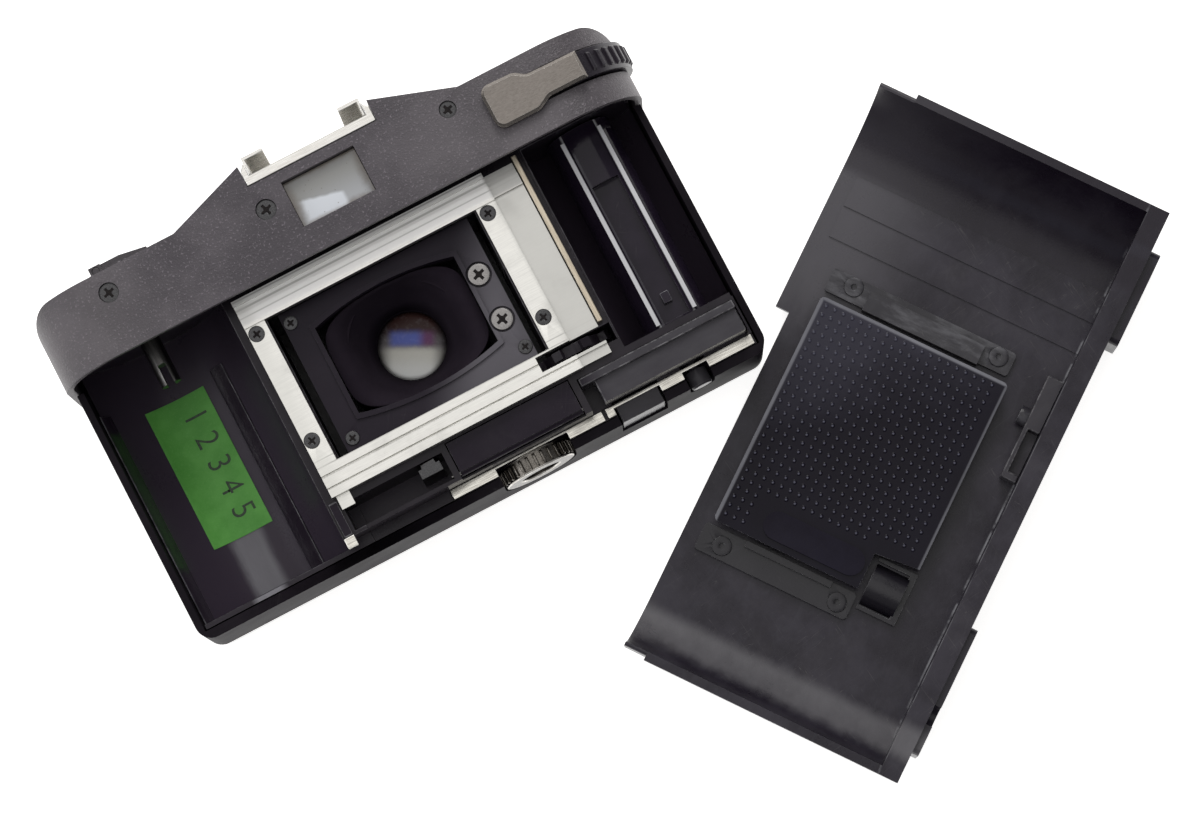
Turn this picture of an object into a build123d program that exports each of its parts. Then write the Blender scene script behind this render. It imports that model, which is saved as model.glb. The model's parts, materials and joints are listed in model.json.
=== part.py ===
from build123d import *
import math
import os

# Compact 35 mm camera lying on its front, with its removable back beside it.
# X runs along the camera's width, Y towards its top, Z rearwards (up).
# The origin is on the table, under the middle of the film gate.

# film gate and film plane
gate_w = 36.0
gate_h = 24.0
film_z = 24.2
rail_base_z = 22.2

# camera body
body_left = -48.8
body_right = 48.1
body_bottom = -26.6
shell_top = 16.0
part_line_z = 16.9
shell_wall = 1.1
front_wall = 1.4
chassis_back = 22.2

# top cover
cover_left = -49.7
cover_right = 48.6
cover_low = 16.3
cover_top = 28.8
hump_top = 33.6
hump_half = 10.3
hump_foot = 24.0
cover_front_z = 0.4
cover_back_z = 30.3
cover_wall = 1.2

# chambers
cart_x = -35.2
cart_z = 15.2
cart_r = 12.7
cart_low = -24.1
cart_high = 19.6
spool_x = 37.6
spool_z = 14.4
spool_r = 5.3
takeup_r = 9.3
takeup_low = -16.8
takeup_high = 17.2

# lens bay and lens
bay_x = 17.7
bay_y = 12.45
mask_z = 19.2
mask_t = 1.4
rear_glass_z = 10.6
barrel_r = 10.4
ring_r = 11.8

# wind lever
pivot_x = 36.6
pivot_z = 18.3
ring_outer = 12.9
ring_low = 20.9
ring_high = 25.3
ring_inner = 10.6
web_low = 22.3
web_high = 23.9

# viewfinder
finder_left = -6.2
finder_right = 6.0
finder_low = 20.6
finder_high = 28.2

# removable back, in its own frame: x along its length, y towards its top, z up
back_x = 59.2
back_y = -45.6
back_turn = 36.4
back_left = -48.6
back_right = 48.2
back_low = -24.0
back_high = 22.3
tongue_high = 24.6
back_rim = 13.2
back_floor = 2.6
back_wall_t = 3.2
plate_top = 6.1
plate_t = 1.2


# the chassis is moulded in four blocks
bay_left = -18.6
bay_right = 18.9
shelf_top = -15.2
shelf_low = -23.2
well_left = 14.0
well_right = 27.9
well_high = -12.4

# lower shelf: bush, release button, sprocket, lid hinge
bush_x = 8.6
bush_z = 11.0
button_x = 36.5
button_z = 13.5
wheel_x = 21.0
wheel_z = 17.6
lid_pin_y = -22.2
lid_pin_z = 21.4

# front door hinge, lever foot, shoe
door_hinge_y = -21.0
door_hinge_z = 1.4
lever_end = 42.0
lever_foot_z = 29.9
shoe_half = 10.9
shoe_floor = 29.9

pin_gap = 0.06
tripod_thread_r = 3.175


def block(x0, x1, y0, y1, z0, z1):
    return Pos((x0 + x1) / 2, (y0 + y1) / 2, (z0 + z1) / 2) * Box(x1 - x0, y1 - y0, z1 - z0)


def rod_x(y, z, x0, x1, r):
    return Pos((x0 + x1) / 2, y, z) * Rot(0, 90, 0) * Cylinder(r, x1 - x0)


def rod_y(x, z, y0, y1, r):
    return Pos(x, (y0 + y1) / 2, z) * Rot(90, 0, 0) * Cylinder(r, y1 - y0)


def rod_z(x, y, z0, z1, r):
    return Pos(x, y, (z0 + z1) / 2) * Cylinder(r, z1 - z0)


def outline(points):
    return make_face(Polyline(*points, close=True))


def plate_xy(face, z0, z1):
    return Pos(0, 0, z0) * extrude(face, z1 - z0)


def plate_xz(face, y0, y1):
    # the face is drawn with x across and z up the page
    return Pos(0, y1, 0) * Rot(90, 0, 0) * extrude(face, y1 - y0)


def round_corner(face, x, y, r):
    corner = sorted(face.vertices(), key=lambda v: abs(v.X - x) + abs(v.Y - y))[0]
    return fillet(corner, r)


def rounded(x0, x1, y0, y1, r):
    return Pos((x0 + x1) / 2, (y0 + y1) / 2) * RectangleRounded(x1 - x0, y1 - y0, r)


def on_back(part):
    return Pos(back_x, back_y, 0) * Rot(0, 0, back_turn) * part


def screw_head(x, y, z0, z1, r):
    # cross recess, cut a third of the way through the head
    head = rod_z(x, y, z0, z1, r)
    depth = (z1 - z0) * 0.4
    for turn in (0, 90):
        slot = Box(r * 1.2, r * 0.28, depth)
        head -= Pos(x, y, z1 - depth / 2) * Rot(0, 0, turn + 20) * slot
    return head


def cover_section(inset):
    # front view of the top cover: flat shoulders, a hump, rounded right end
    low = cover_low - (5 if inset else 0)
    points = [
        (cover_left, low), (cover_right, low), (cover_right, cover_top),
        (hump_foot, cover_top), (hump_half, hump_top), (-hump_half, hump_top),
        (-hump_foot, cover_top), (cover_left, cover_top),
    ]
    face = outline(points)
    face = round_corner(face, cover_right, cover_top, 4.5)
    face = round_corner(face, cover_left, cover_top, 4.0)
    if inset:
        face = offset(face, -cover_wall, kind=Kind.INTERSECTION)
    return face


def cover_plan(inset):
    # top view of the top cover, its right rear corner round about the lever pivot
    points = [
        (cover_left, cover_front_z), (cover_right, cover_front_z),
        (cover_right, cover_back_z), (cover_left, cover_back_z),
    ]
    face = outline(points)
    face = round_corner(face, cover_left, cover_front_z, 4.0)
    face = round_corner(face, cover_right, cover_front_z, 4.0)
    face = round_corner(face, cover_right, cover_back_z, cover_right - pivot_x)
    face = round_corner(face, cover_left, cover_back_z, 10.0)
    if inset:
        face = offset(face, -cover_wall, kind=Kind.INTERSECTION)
    return face


def top_cover():
    outer = plate_xy(cover_section(False), cover_front_z, cover_back_z)
    outer &= plate_xz(cover_plan(False), cover_low, hump_top + 1)
    inner = plate_xy(cover_section(True), cover_front_z, cover_back_z)
    inner &= plate_xz(cover_plan(True), cover_low - 5, hump_top + 1)
    roof = block(-shoe_half - 1, shoe_half + 1, shoe_floor - cover_wall, hump_top + 1, 9.4, 31)
    cover = outer - (inner - roof)
    cover -= block(-shoe_half, shoe_half, shoe_floor, hump_top + 1, 10.5, 31)
    cover -= block(finder_left, finder_right, finder_low, finder_high, -1, 31)
    cover -= rod_y(pivot_x, pivot_z, ring_low - 0.35, ring_high + 0.35, ring_outer + 0.35)
    cover -= rod_y(pivot_x, pivot_z, 26, 30, 4.7)
    cover -= rod_y(cart_x, cart_z, 26, 30, 2.0)
    for x, y, r in cover_screw_places:
        cover -= rod_z(x, y, 28, 31, r + 0.05)
    return cover


cover_screw_places = [(-36.6, 25.4, 1.5), (-10.0, 25.6, 1.55), (21.1, 26.4, 1.3)]


def cover_screws():
    return [screw_head(x, y, 28.9, 30.0, r) for x, y, r in cover_screw_places]


def finder_tunnel():
    tube = block(finder_left - 0.4, finder_right + 0.4, finder_low - 0.4, finder_high + 0.4, 1.8, 29.0)
    return tube - block(finder_left, finder_right, finder_low, finder_high, 0, 30)


def finder_glass(z0, z1):
    g = 0.05
    return block(finder_left + g, finder_right - g, finder_low + g, finder_high - g, z0, z1)


def shoe_plate():
    # folded sheet: rear flange with chamfered ends and a floor that runs forward
    flange = outline([
        (-10.8, 30.0), (10.8, 30.0), (10.8, 32.4), (9.95, 33.5), (9.95, 31.4),
        (-9.95, 31.4), (-9.95, 33.5), (-10.8, 32.4),
    ])
    return plate_xy(flange, 29.6, 30.4) + block(-10.6, 10.6, 30.5, 31.4, 11.0, 29.8)


def shoe_rails():
    # upright channel walls with lips folded inwards, stopped at the front
    rails = None
    for side in (-1, 1):
        wall = block(min(side * 9.4, side * 9.9), max(side * 9.4, side * 9.9), 31.4, 34.3, 11.5, 30.4)
        lip = block(min(side * 6.35, side * 9.5), max(side * 6.35, side * 9.5), 33.7, 34.3, 11.5, 30.4)
        rails = wall + lip if rails is None else rails + wall + lip
    return rails + block(-9.6, 9.6, 31.4, 34.3, 11.0, 11.8)


def shoe_contact():
    return rod_y(0, 21.0, 31.4, 31.7, 2.2)


def front_cover():
    outer = plate_xy(rounded(body_left, body_right, body_bottom, shell_top + 6, 2.6), 0, part_line_z)
    outer &= block(-60, 60, -60, shell_top, -1, 40)
    outer = fillet(outer.faces().sort_by(Axis.Z)[0].edges().sort_by(Axis.Y)[:-1], 1.6)
    inside = block(body_left + shell_wall, body_right - shell_wall,
                   body_bottom + 1.5, shell_top + 1, front_wall, 40)
    shell = outer - inside
    shell -= block(-19.0, 19.0, door_hinge_y - 1.7, 14.0, -1, 3)
    shell -= rod_y(bush_x, bush_z, -30, -25, 6.1) + block(bush_x - 6.1, bush_x + 6.1, -30, -25, bush_z, 20)
    shell -= block(22.7, 30.5, -30, -25, 8.7, 20)
    shell -= rod_y(button_x, button_z, -30, -25, 2.1) + block(34.4, 38.6, -30, -25, button_z, 20)
    for side in (-1, 1):
        near = side * 13.5
        far = side * 16.5
        ear = block(min(near, far), max(near, far), door_hinge_y - 1.8, door_hinge_y + 0.9, 0.3, 2.6)
        shell += ear + block(min(near, side * 19.0), max(near, side * 19.0),
                             door_hinge_y - 1.8, door_hinge_y + 0.9, 1.5, 2.6)
    shell -= rod_x(door_hinge_y, door_hinge_z, -16.0, 16.0, 0.61)
    # four moulded sections round the door opening
    return [
        shell & block(-60, -19.0, -60, 60, -1, 40),
        shell & block(19.0, 60, -60, 60, -1, 40),
        shell & block(-19.0, 19.0, 0, 60, -1, 40),
        shell & block(-19.0, 19.0, -60, 0, -1, 40),
    ]


def front_door():
    # drop-down door with its knuckle along the lower edge
    leaf = block(-18.7, 18.7, door_hinge_y + 1.9, 13.7, 0.0, 1.4)
    leaf += block(-13.1, 13.1, door_hinge_y, door_hinge_y + 2.2, 0.1, 1.4)
    leaf += rod_x(door_hinge_y, door_hinge_z, -13.1, 13.1, 1.3)
    return leaf - rod_x(door_hinge_y, door_hinge_z, -20, 20, 0.6 + pin_gap)


def door_pin():
    return rod_x(door_hinge_y, door_hinge_z, -15.9, 15.9, 0.6)




def chassis_block():
    left = body_left + shell_wall + 0.3
    body = block(left, 46.7, -24.9, 18.0, 1.7, part_line_z)
    body += block(-46.9, 46.1, shelf_low, 18.0, part_line_z - 1, chassis_back)
    body += block(left, -21.6, 17.0, cart_high + 0.8, 1.7, part_line_z)
    body -= block(-60, -44.6, shell_top, 30, 0, 4.6) + block(43.4, 60, shell_top, 30, 0, 4.6)
    body += block(-46.9, -21.6, 17.0, cart_high + 0.8, part_line_z - 1, chassis_back)
    # cartridge chamber and take-up chamber
    body -= rod_y(cart_x, cart_z, cart_low, cart_high, cart_r)
    body -= block(cart_x - cart_r, cart_x + cart_r - 0.2, cart_low, cart_high, cart_z, 30)
    body -= rod_y(spool_x, spool_z, takeup_low, takeup_high, takeup_r)
    body -= block(spool_x - takeup_r, spool_x + takeup_r, takeup_low, takeup_high, spool_z, 30)
    # lens bay and front opening
    body -= block(-bay_x, bay_x, -bay_y, bay_y, 1, 30)
    # sprocket well and its shaft hole
    body -= block(well_left, well_right, shelf_top, well_high, 10.6, 30)
    body -= rod_y(wheel_x, wheel_z, -17.8, -15, 1.2 + pin_gap)
    # lower shelf: cell bay, latch pocket, drive bay, ledges for the straps
    body -= block(-2.6, 18.4, -22.9, -17.2, 10.6, 30)
    body -= block(-2.6, 18.4, -23.4, -17.2, 20.3, 30)
    body -= block(-20.4, -3.6, -22.6, -18.2, 12.0, 30)
    body -= block(19.5, 46.0, -30, -17.9, part_line_z, 30)
    body -= block(-5.3, 50, -30, shelf_low, 16.2, 30)
    # bush, lock block and release button recesses
    body -= rod_y(bush_x, bush_z, -30, -23.5, 6.1) + block(2.5, 14.7, -30, -23.5, bush_z, 20)
    body -= block(22.7, 30.5, -30, -22.7, 8.7, 20)
    body -= rod_y(button_x, button_z, -30, -22.5, 2.1) + block(34.4, 38.6, -30, -22.5, button_z, 20)
    body -= rod_y(button_x, button_z, -30, -18.5, 1.0 + pin_gap)
    # shaft holes at the chamber tops and the spool's lower journal
    body -= rod_y(cart_x, cart_z, 19, 25, 1.6 + pin_gap)
    body -= rod_y(spool_x, spool_z, 16, 20, 1.4 + pin_gap)
    body -= rod_y(spool_x, spool_z, -17.9, -16, 1.4 + pin_gap)
    body -= block(finder_left - 0.6, finder_right + 0.6, 17.4, 19, 0, 30)
    body -= block(-20.4, 20.4, door_hinge_y - 2, door_hinge_y + 1.6, 1, 3.1)
    # lid hinge pin holes
    body -= rod_x(lid_pin_y, lid_pin_z, -4.0, 19.4, 0.31)
    return body


def chassis_part(x0, x1, y0, y1):
    return chassis_block() & block(x0, x1, y0, y1, -1, 40)


def cartridge_chamber():
    return chassis_part(-60, bay_left, -30, 30)


def lens_bay():
    # four walls
    return [
        chassis_part(bay_left, -bay_x, shelf_top, 30),
        chassis_part(bay_x, bay_right, shelf_top, 30),
        chassis_part(-bay_x, bay_x, bay_y, 30),
        chassis_part(-bay_x, bay_x, shelf_top, -bay_y),
    ]


def takeup_chamber():
    return [
        chassis_part(bay_right, well_right, well_high, 30),
        chassis_part(bay_right, well_right, shelf_top, well_high),
        chassis_part(well_right, 60, shelf_top, 30),
    ]


def lower_shelf():
    return chassis_part(bay_left, 60, -30, shelf_top)


def cartridge_ribs():
    # two guide ribs along the chamber wall
    ribs = []
    for start, end, high in ((192, 209, 12.3), (-63.8, -51.5, 12.3)):
        ring = Pos(cart_x, high, cart_z) * Rot(90, 0, 0) * extrude(
            rib_face(start, end, cart_r - 0.02, cart_r - 0.3), high - cart_low - 0.1)
        ribs.append(ring)
    return ribs


def rib_face(start, end, outer, inner):
    a = math.radians(start)
    b = math.radians(end)
    mid = (a + b) / 2
    def at(r, t):
        return (r * math.cos(t), r * math.sin(t))
    edges = [
        ThreePointArc(at(outer, a), at(outer, mid), at(outer, b)),
        Line(at(outer, b), at(inner, b)),
        ThreePointArc(at(inner, b), at(inner, mid), at(inner, a)),
        Line(at(inner, a), at(outer, a)),
    ]
    return make_face(edges)


def serial_label():
    # paper label laid along the round chamber wall
    band = rib_face(-120.5, -73.5, cart_r - 0.02, cart_r - 0.12)
    return Pos(cart_x, 10.8, cart_z) * Rot(90, 0, 0) * extrude(band, 23.8)


def film_gate_frame():
    z0 = rail_base_z
    frame = block(-21.3, 21.3, -16.9, 16.6, z0, 23.2)
    frame += block(20.0, 26.2, -16.7, 16.0, z0, 22.9)
    frame += block(-20.7, -18.5, -19.1, -16, z0, 23.2)
    # inner film rails, then the higher outer guide rails
    for y0, y1, top in ((12.0, 14.4, film_z - 0.2), (-13.3, -12.0, film_z - 0.2),
                        (15.75, 16.6, film_z), (-15.3, -13.7, film_z - 0.2), (-16.9, -15.6, film_z)):
        frame += block(-21.3, 21.3, y0, y1, z0, top)
    for y0, y1 in ((12.3, 14.2), (-15.2, -13.8)):
        frame += block(20.0, 26.2, y0, y1, z0, film_z - 0.6)
    frame += block(-21.3, -18.0, -12.0, 12.0, z0, 23.6) + block(18.0, 21.3, -12.0, 12.0, z0, 23.6)
    frame -= block(-gate_w / 2, gate_w / 2, -gate_h / 2, gate_h / 2, 0, 30)
    frame -= block(15.5, 26.6, -14.75, -12.3, 0, 30)
    for x, y in gate_screw_places:
        frame -= rod_z(x, y, 22.9, 30, 1.25)
    return frame


gate_screw_places = [(-20.0, 10.6), (-20.0, -7.7), (19.4, 10.7), (19.5, -7.3)]


def gate_screws():
    return [screw_head(x, y, 22.92, 23.5, 1.2) for x, y in gate_screw_places]


def guide_strip():
    return block(26.4, 27.2, -11.8, 16.8, chassis_back + 0.01, 23.6)


def barrel_outline(grow):
    # barrel-shaped opening: straight ends, bowed long sides
    x = 11.85 + grow
    y = 7.3 + grow
    bow = 8.9 + grow
    lift = 0.4
    edges = [
        ThreePointArc((-x, y + lift), (0, bow + lift), (x, y + lift)),
        Line((x, y + lift), (x, -y + lift)),
        ThreePointArc((x, -y + lift), (0, -bow + lift), (-x, -y + lift)),
        Line((-x, -y + lift), (-x, y + lift)),
    ]
    return make_face(edges)


small_mask_screws = [(-14.75, 10.2), (-14.45, -9.8), (15.1, -9.6)]
large_mask_screws = [(13.95, 3.5), (13.95, -4.2)]


def light_mask():
    mask = block(-16.0, 16.3, -12.1, 12.1, mask_z, mask_z + mask_t)
    mask += plate_xy(barrel_outline(0.7), mask_z, mask_z + mask_t + 0.4)
    mask -= plate_xy(barrel_outline(0), 0, 30)
    for x, y in small_mask_screws:
        mask -= rod_z(x, y, mask_z + 0.7, 30, 1.1)
    for x, y in large_mask_screws:
        mask -= rod_z(x, y, mask_z + 0.5, 30, 2.0)
    return mask


def mask_screws():
    top = mask_z + mask_t
    return [screw_head(x, y, mask_z + 0.72, top + 0.2, 1.05) for x, y in small_mask_screws]


def shutter_screws():
    top = mask_z + mask_t
    return [screw_head(x, y, mask_z + 0.52, top + 0.1, 1.65) for x, y in large_mask_screws]


def lens_barrel():
    # square flange behind the tube; the light path narrows towards the glass
    barrel = block(-16.0, 16.0, -12.0, 12.0, 17.8, mask_z - 0.02)
    barrel += rod_z(0, 0, 2.8, 17.9, barrel_r)
    barrel -= plate_xy(barrel_outline(0), 17.0, 30) & rod_z(0, 0, 17.0, 30, 30)
    barrel -= rod_z(0, 0, 13.0, 18.0, 9.2)
    barrel -= Pos(0, 0, 12.0) * Cone(5.4, 9.2, 2.4)
    barrel -= rod_z(0, 0, 1, 20, 5.4)
    return barrel


def lens_glass(z, r, depth, bulge):
    # plano-convex element
    dome = (r * r + bulge * bulge) / (2 * bulge)
    glass = rod_z(0, 0, z, z + depth, r) & (Pos(0, 0, z + depth - dome) * Sphere(dome))
    return glass


def rear_lens():
    return lens_glass(rear_glass_z - 2.2, 5.35, 2.6, 0.7)


def front_lens():
    return mirror(lens_glass(-6.2, 5.35, 2.2, 0.8), about=Plane.XY)


def lens_ring(z0, z1, outer):
    ring = rod_z(0, 0, z0, z1, outer) - rod_z(0, 0, 0, 30, barrel_r + pin_gap)
    return ring


def take_up_spool():
    spool = rod_y(spool_x, spool_z, -16.5, 16.9, spool_r)
    spool += rod_y(spool_x, spool_z, 16.8, 17.9, 1.4)
    spool += rod_y(spool_x, spool_z, -17.8, -16.4, 1.4)
    # flat film slot facing rearwards, with a raised lip on each side
    spool -= block(spool_x - 2.2, spool_x + 2.2, -16.2, 7.5, spool_z + 3.2, 30)
    for side in (-1, 1):
        lip = block(spool_x + side * 3.1 - 0.35, spool_x + side * 3.1 + 0.35, -16.0, 15.6,
                    spool_z + 3, spool_z + 4.9)
        spool += lip
    return spool


def spool_hook():
    return block(spool_x - 0.7, spool_x + 0.7, -13.4, -11.6, spool_z + 3.22, spool_z + 4.3)


def sprocket():
    wheel = rod_y(wheel_x, wheel_z, -14.4, -12.8, 5.3)
    teeth = 8
    for n in range(teeth):
        tooth = Pos(0, 0, 5.6) * Box(1.5, 1.4, 1.6)
        wheel += Pos(wheel_x, -13.6, wheel_z) * Rot(0, 22.5 + 360 / teeth * n, 0) * tooth
    return wheel + rod_y(wheel_x, wheel_z, -17.5, -14.3, 1.2)


def rewind_knob():
    knob = rod_y(cart_x, cart_z, 29.1, 30.6, 7.2)
    knob -= rod_y(cart_x + 4.9, cart_z, 29.7, 31, 2.0)
    for side in (-1, 1):
        near = cart_z + side * 1.8
        far = cart_z + side * 2.7
        knob += block(cart_x - 3.3, cart_x - 1.3, 30.5, 32.5, min(near, far), max(near, far))
    knob -= Pos(cart_x - 2.3, 31.7, cart_z) * Cylinder(0.55 + pin_gap, 8)
    return knob


def rewind_fork():
    # shaft with two prongs that turn the cartridge's core
    shaft = rod_y(cart_x, cart_z, 11.2, 29.09, 1.6)
    return shaft - block(cart_x - 0.6, cart_x + 0.6, 10, 14.5, cart_z - 3, cart_z + 3)


def rewind_crank():
    hinge_x = cart_x - 2.3
    crank = Pos(hinge_x, 31.7, cart_z) * Cylinder(0.9, 3.2)
    arm = outline([
        (hinge_x, 30.95), (cart_x + 6.2, 30.95), (cart_x + 6.2, 31.8), (cart_x + 1.8, 32.55), (hinge_x, 32.55),
    ])
    crank += plate_xy(arm, cart_z - 1.6, cart_z + 1.6)
    crank += Pos(hinge_x, 31.7, cart_z) * Cylinder(0.55, 5.4)
    return crank


def crank_handle():
    return rod_y(cart_x + 4.9, cart_z, 29.9, 30.94, 1.6)


def lever_pivot():
    tube = rod_y(pivot_x, pivot_z, 18.02, 26.6, 2.0)
    return tube - rod_y(pivot_x, pivot_z, 18.6, 30, 1.2 + pin_gap)


def lever_ring():
    # rim, and the web with its hub
    rim = rod_y(pivot_x, pivot_z, ring_low, ring_high, ring_outer)
    rim -= rod_y(pivot_x, pivot_z, 0, 40, ring_inner)
    rim -= block(20, lever_end + 0.02, 10, 30, lever_foot_z - 0.02, 40)
    web = rod_y(pivot_x, pivot_z, web_low, web_high, ring_inner)
    web += rod_y(pivot_x, pivot_z, ring_low, web_high, 4.0)
    web -= rod_y(pivot_x, pivot_z, 0, 40, 2.0 + pin_gap)
    return [rim, web]


def wind_lever():
    # wide thumb end, waist, and a foot that joins the ring
    face = outline([
        (26.4, 19.6), (33.4, 19.6), (35.6, 20.8), (lever_end, 20.8), (lever_end, 25.2),
        (34.0, 25.4), (32.2, 26.6), (26.4, 26.8),
    ])
    face = round_corner(face, 26.4, 19.6, 1.6)
    face = round_corner(face, 26.4, 26.8, 1.6)
    face = round_corner(face, 32.2, 26.6, 2.0)
    face = round_corner(face, 34.0, 25.4, 1.6)
    face = round_corner(face, 35.6, 20.8, 1.6)
    face = round_corner(face, 33.4, 19.6, 2.0)
    tab = plate_xy(face, 30.7, 31.9)
    tab = chamfer(tab.faces().sort_by(Axis.Z)[-1].edges(), 0.45)
    foot = block(34.0, lever_end, ring_low + 0.1, ring_high - 0.2, lever_foot_z, 30.75)
    foot &= rod_y(pivot_x, pivot_z, 10, 30, 13.4)
    return tab + foot


def shutter_button():
    cap = rod_y(pivot_x, pivot_z, 27.9, 30.2, 4.4)
    cap = chamfer(cap.faces().sort_by(Axis.Y)[-1].edges(), 0.4)
    return cap + rod_y(pivot_x, pivot_z, 25.1, 28.0, 1.2)


def battery_lid():
    lid = block(-2.4, 18.2, -22.2, -17.4, 21.2, 22.4)
    lid += rod_x(lid_pin_y, lid_pin_z, -2.4, 18.2, 0.65)
    lid += block(-2.4, 18.2, -22.2, -21.6, 20.9, 22.4)
    lid = lid - rod_x(lid_pin_y, lid_pin_z, -5, 20, 0.3 + pin_gap)
    return lid


def battery_lid_pin():
    return rod_x(lid_pin_y, lid_pin_z, -3.9, 19.3, 0.3)


def button_cells():
    return [rod_y(x, 15.6, -22.6, -17.5, 4.7) for x in (2.9, 12.9)]


def lid_latch():
    latch = block(-8.0, -4.4, -20.6, -19.0, 12.02, 22.0)
    return latch + block(-7.4, -5.0, -20.6, -18.4, 20.6, 22.0)


def tripod_bush():
    bush = rod_y(bush_x, bush_z, -26.6, -23.6, 5.8)
    return bush - rod_y(bush_x, bush_z, -30, -20, tripod_thread_r)


def tripod_strap():
    return block(-5.1, 20.8, -24.8, -23.25, 16.22, 16.8) - block(2.5, 14.7, -30, -23.6, 16, 17)


def drive_strap():
    strap = block(21.4, 46.4, -24.8, -23.25, 16.22, 16.8)
    strap -= block(22.7, 30.5, -30, -23.75, 16, 17)
    return strap - block(34.4, 38.6, -30, -23.75, 16, 17)


def drive_cover():
    cover = block(19.7, 45.9, -19.3, -18.0, 17.0, 22.6)
    return cover + block(21.8, 45.9, -22.9, -19.2, 17.0, 21.8)


def lock_block():
    return block(23.0, 30.2, -26.3, -23.0, 9.0, 16.2)


def lock_arm():
    return block(-22.3, -21.0, -23.1, -17.4, chassis_back + 0.02, 23.0)


def lock_tab():
    return block(-22.6, -20.9, -24.8, -23.12, 22.3, 23.0)


def rewind_button():
    button = rod_y(button_x, button_z, -26.6, -24.0, 1.8)
    button = chamfer(button.faces().sort_by(Axis.Y)[0].edges(), 0.3)
    return button + rod_y(button_x, button_z, -24.1, -20.4, 1.0)


def back_outline():
    # outer cross-section of the back, its corners matching the top cover's ends
    face = outline([(back_left, 0), (back_right, 0), (back_right, back_rim), (back_left, back_rim)])
    face = round_corner(face, back_left, 0, 12.0)
    return round_corner(face, back_right, 0, 10.0)


def back_hollow():
    # inner cross-section, round about the cartridge and the take-up spool
    x0 = back_left + 1.4
    x1 = back_right - 1.2
    face = outline([(x0, back_floor), (x1, back_floor), (x1, 30), (x0, 30)])
    face = round_corner(face, x0, back_floor, 9.6)
    return round_corner(face, x1, back_floor, 12.4)


def back_shell():
    end_y = 18.6
    set_in = rounded(back_left + 0.75, back_right - 0.6, 1.5, back_rim - 0.4, 0.5)
    lip = back_outline() & set_in
    tongue = lip & rounded(10.5, back_right + 5, 1, back_rim + 5, 0.2)
    shell = plate_xz(back_outline(), back_low, end_y)
    # under the top cover the back is thinner and its end walls are set in
    shell += plate_xz(lip, end_y - 0.5, back_high)
    shell += plate_xz(tongue, back_high - 0.5, tongue_high)
    for x0, x1, drop in ((-43.5, -22.3, 1.1), (26.3, 42.0, 1.6)):
        pad = rounded(x0, x1, 2.4, 12.0, 1.0)
        shell += plate_xz(pad, back_low - drop, back_low + 1)
    shell -= plate_xz(back_hollow(), back_low + back_wall_t, tongue_high + 5)
    # shallow floor steps beside the cartridge recess
    shell += block(24.0, 34.4, back_low + 2, 21.9, 2.0, back_floor + 0.25)
    shell += block(29.3, 34.4, back_low + 2, 21.9, 2.0, back_floor + 0.5)
    # release button hole through the bottom wall
    shell -= rod_y(-37.0, 11.0, back_low - 3, back_low + 5, 1.9)
    return on_back(shell)


left_rivets = [(-27.0, 15.8), (-27.1, -3.9)]
right_rivets = [(18.3, 14.9), (18.2, -10.0)]


def bracket(x0, x1, y0, y1, places):
    strip = plate_xy(rounded(x0, x1, y0, y1, 0.5), back_floor, back_floor + 0.9)
    for x, y in places:
        strip -= rod_z(x, y, 0, 10, 1.55)
    return strip


def left_bracket():
    strip = bracket(-29.1, -24.6, -6.2, 19.6, left_rivets)
    strip += block(-25.6, -24.6, -2.0, 12.6, back_floor, 4.3)
    return on_back(strip)


def right_bracket():
    strip = bracket(15.9, 19.8, -12.4, 18.9, right_rivets)
    strip += block(15.4, 18.6, -7.4, 12.2, back_floor, 5.2)
    return on_back(strip)


def bracket_rivets():
    rivets = []
    for x, y in left_rivets + right_rivets:
        head = rod_z(x, y, back_floor, back_floor + 1.1, 1.5)
        head -= rod_z(x, y, back_floor + 0.7, 10, 0.5)
        rivets.append(on_back(head))
    return rivets


def pressure_plate():
    face = outline([
        (-24.0, 18.7), (-24.0, -5.9), (-18.0, -5.9), (-17.3, -13.2), (14.6, -13.2), (14.6, 18.7),
    ])
    face = round_corner(face, -24.0, 18.7, 0.8)
    face = round_corner(face, 14.6, 18.7, 0.8)
    face = round_corner(face, 14.6, -13.2, 0.8)
    return on_back(plate_xy(face, plate_top - plate_t, plate_top))


def plate_spring():
    # flat leaf spring riveted to the floor under the pressure plate
    spring = block(-4.0, 4.0, -8.0, 13.0, back_floor, 3.0)
    return on_back(spring)


def film_clip():
    # hollow half-round clip that holds the film against the sprocket
    clip = rod_y(-22.3, 2.0, -12.6, -7.0, 3.5) - rod_y(-22.3, 2.0, -14, -6, 2.9)
    clip &= block(-30, -10, -20, 0, back_floor, 10)
    frame = block(-26.6, -17.9, -13.4, -12.3, back_floor, 3.5)
    frame += block(-26.6, -26.0, -12.5, -6.9, back_floor, 3.5)
    frame += block(-18.5, -17.9, -12.5, -6.9, back_floor, 3.5)
    return on_back(clip + frame)


def back_catch():
    catch = block(1.2, 18.6, -20.7, -18.1, back_floor, 6.2)
    catch -= block(2.4, 9.6, -20.8, -18.9, 4.6, 8)
    return on_back(catch)


def catch_spring():
    spring = rod_y(11.4, 4.4, -18.08, -16.6, 1.5)
    return on_back(spring)


def save(name, shape):
    solid = Compound(children=list(shape)) if isinstance(shape, list) else shape
    export_step(solid, "parts/" + name + ".step")


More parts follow.
